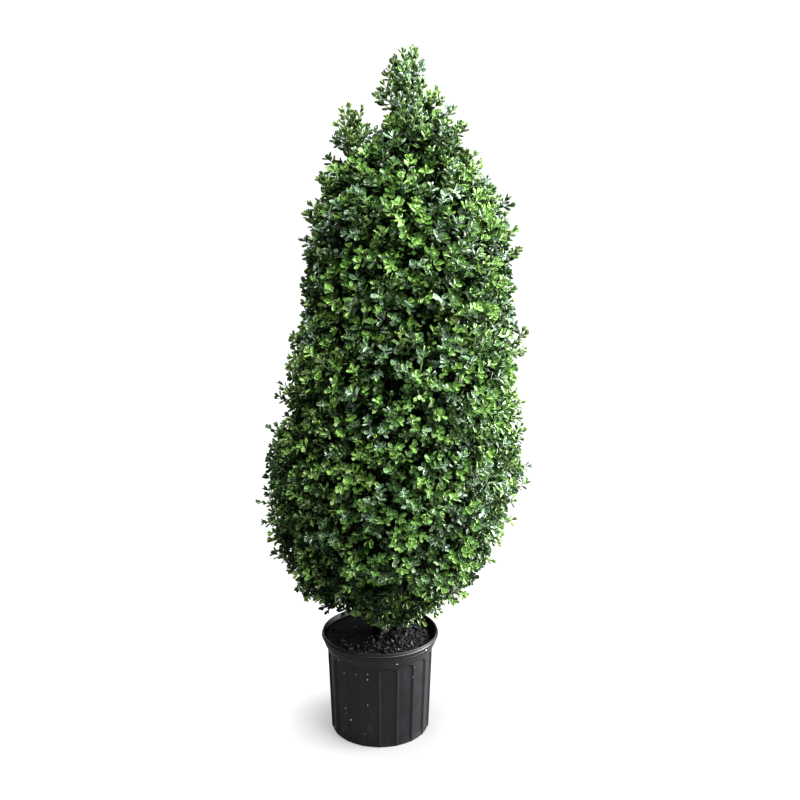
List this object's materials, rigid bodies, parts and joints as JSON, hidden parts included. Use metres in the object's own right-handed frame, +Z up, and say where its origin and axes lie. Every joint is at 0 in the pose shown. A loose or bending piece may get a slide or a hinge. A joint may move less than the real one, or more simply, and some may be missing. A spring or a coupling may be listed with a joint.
{
  "type": "potted boxwood cone topiary",
  "caption": "Clipped cone-shaped boxwood topiary with small cupped leaves on a leaning stem, standing in a round black ribbed nursery pot filled with black potting mix.",
  "frame": {"origin": "centre of the pot's flat underside, at floor level", "axes": "+Z up; -Y is the side that faces the camera in the picture; +X is the camera's right, the way the stem leans"},
  "size_m": [0.4937, 0.4899, 1.219],
  "materials": {
    "pot_plastic": "satin black moulded plastic, faintly scuffed",
    "potting_mix": "black gritty granules",
    "bark": "rough grey-brown bark",
    "foliage": "satin green leaves"
  },
  "bodies": {
    "root": {"nursery_pot": "pot_plastic", "potting_soil": "potting_mix", "trunk": "bark", "crown_skirt": "foliage", "crown_belly": "foliage", "crown_middle": "foliage", "crown_upper": "foliage", "crown_shoulder": "foliage", "crown_leader": "foliage"}
  },
  "joints": []
}
